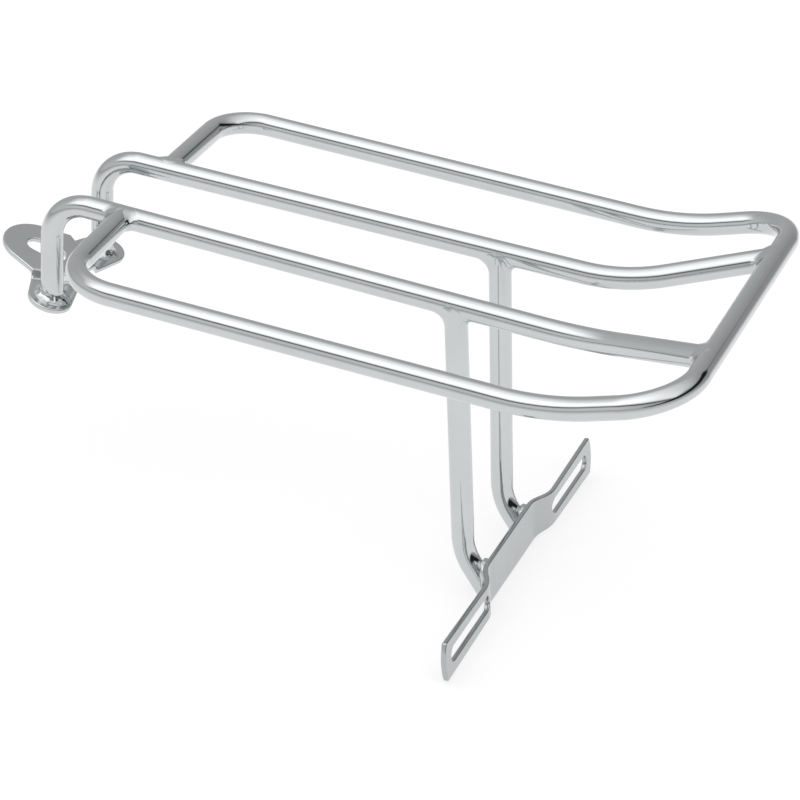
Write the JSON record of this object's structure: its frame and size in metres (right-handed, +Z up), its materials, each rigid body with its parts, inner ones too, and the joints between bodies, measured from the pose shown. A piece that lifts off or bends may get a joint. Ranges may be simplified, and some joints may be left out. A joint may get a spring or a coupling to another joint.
{
  "type": "luggage rack",
  "caption": "Welded chrome tube luggage rack: flat, round-cornered deck with a raised rear end, front uprights, rear stays and slotted mounting plates.",
  "frame": {"origin": "on the centre plane, over the front tubes of the hoop, level with the top of the deck tubes", "axes": "+X rearward towards the raised end, +Y to the right-hand side, +Z up, out of the luggage surface"},
  "size_m": [0.4355, 0.249, 0.2054],
  "materials": {
    "tube_chrome": "polished",
    "plate_chrome": "bright plated, softer than the tubes",
    "weld_chrome": "plated over, slightly lumpy"
  },
  "bodies": {
    "root": {"deck_hoop": "tube_chrome", "left_deck_bar": "tube_chrome", "right_deck_bar": "tube_chrome", "left_rear_stay": "tube_chrome", "right_rear_stay": "tube_chrome", "front_mount_plate": "plate_chrome", "rear_mount_plate": "plate_chrome", "left_hoop_weld": "weld_chrome", "right_hoop_weld": "weld_chrome", "left_rail_weld": "weld_chrome", "right_rail_weld": "weld_chrome", "left_stay_top_weld": "weld_chrome", "right_stay_top_weld": "weld_chrome", "left_stay_foot_weld": "weld_chrome", "right_stay_foot_weld": "weld_chrome", "left_ear_weld": "weld_chrome", "right_ear_weld": "weld_chrome"}
  },
  "joints": []
}
